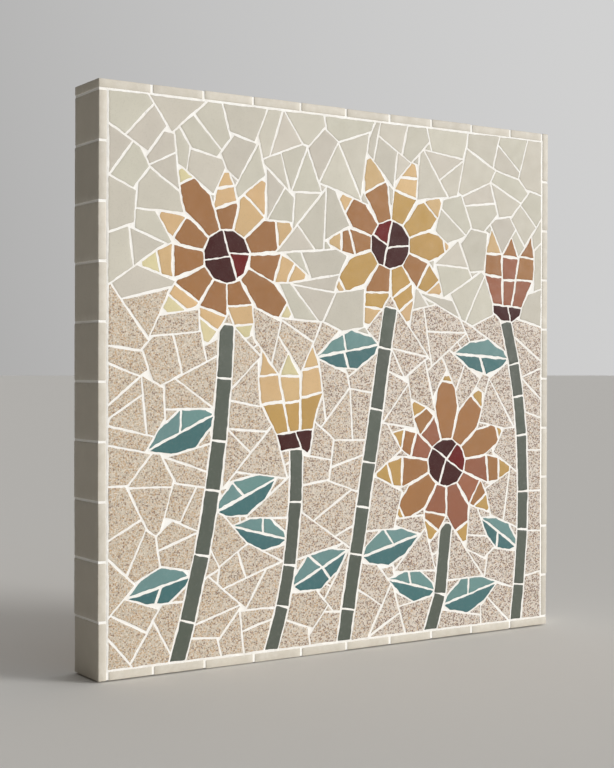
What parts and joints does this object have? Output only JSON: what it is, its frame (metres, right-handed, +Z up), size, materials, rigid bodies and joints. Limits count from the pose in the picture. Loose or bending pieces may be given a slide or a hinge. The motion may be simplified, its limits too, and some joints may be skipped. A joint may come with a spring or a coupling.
{
  "type": "mosaic wall panel",
  "caption": "Square wall panel of broken-tile mosaic on a board: flowers with stems and leaves on a two-tone ground, white grout, and sides clad in square tiles.",
  "frame": {"origin": "middle of the board's back face, which goes against the wall", "axes": "+Z up, +X to the right as the picture is seen, +Y out of the back into the wall, so the picture faces -Y"},
  "size_m": [0.2648, 0.0254, 0.2648],
  "materials": {
    "board": "plain plywood, uncoated",
    "grout": "white sanded grout, matt",
    "edge_tile": "plain cream unglazed porcelain, satin",
    "tile_cream": "plain cream unglazed porcelain, satin",
    "tile_speckled": "beige unglazed porcelain with brown speckles, matt",
    "tile_maroon": "dark maroon unglazed porcelain, satin",
    "tile_red": "deep red unglazed porcelain, satin",
    "tile_ochre": "brown ochre unglazed porcelain, satin",
    "tile_gold": "gold unglazed porcelain, satin",
    "tile_sand": "sand unglazed porcelain, satin",
    "tile_straw": "straw unglazed porcelain, satin",
    "tile_rust": "rust unglazed porcelain, satin",
    "tile_teal": "dark teal unglazed porcelain, satin",
    "tile_pale_teal": "pale teal unglazed porcelain, satin",
    "tile_stem_green": "grey green unglazed porcelain, satin"
  },
  "bodies": {
    "root": {"background_lower": "tile_speckled", "background_upper": "tile_cream", "board": "board", "daisy_left_centre": "tile_maroon", "daisy_left_petals": "tile_gold", "daisy_middle_centre": "tile_maroon", "daisy_middle_petals": "tile_gold", "daisy_right_centre": "tile_maroon", "daisy_right_petals": "tile_gold", "edge_grout": "grout", "edge_tile_bottom_01": "edge_tile", "edge_tile_bottom_02": "edge_tile", "edge_tile_bottom_03": "edge_tile", "edge_tile_bottom_04": "edge_tile", "edge_tile_bottom_05": "edge_tile", "edge_tile_bottom_06": "edge_tile", "edge_tile_bottom_07": "edge_tile", "edge_tile_bottom_08": "edge_tile", "edge_tile_bottom_09": "edge_tile", "edge_tile_bottom_10": "edge_tile", "edge_tile_left_01": "edge_tile", "edge_tile_left_02": "edge_tile", "edge_tile_left_03": "edge_tile", "edge_tile_left_04": "edge_tile", "edge_tile_left_05": "edge_tile", "edge_tile_left_06": "edge_tile", "edge_tile_left_07": "edge_tile", "edge_tile_left_08": "edge_tile", "edge_tile_left_09": "edge_tile", "edge_tile_left_10": "edge_tile", "edge_tile_right_01": "edge_tile", "edge_tile_right_02": "edge_tile", "edge_tile_right_03": "edge_tile", "edge_tile_right_04": "edge_tile", "edge_tile_right_05": "edge_tile", "edge_tile_right_06": "edge_tile", "edge_tile_right_07": "edge_tile", "edge_tile_right_08": "edge_tile", "edge_tile_right_09": "edge_tile", "edge_tile_right_10": "edge_tile", "edge_tile_top_01": "edge_tile", "edge_tile_top_02": "edge_tile", "edge_tile_top_03": "edge_tile", "edge_tile_top_04": "edge_tile", "edge_tile_top_05": "edge_tile", "edge_tile_top_06": "edge_tile", "edge_tile_top_07": "edge_tile", "edge_tile_top_08": "edge_tile", "edge_tile_top_09": "edge_tile", "edge_tile_top_10": "edge_tile", "stem_left": "tile_stem_green", "stem_middle": "tile_stem_green", "stem_of_middle_tulip": "tile_stem_green", "stem_of_right_tulip": "tile_stem_green", "stem_right": "tile_stem_green", "tulip_middle_centre": "tile_maroon", "tulip_middle_petals": "tile_gold", "tulip_right_centre": "tile_maroon", "tulip_right_petals": "tile_gold"}
  },
  "joints": []
}
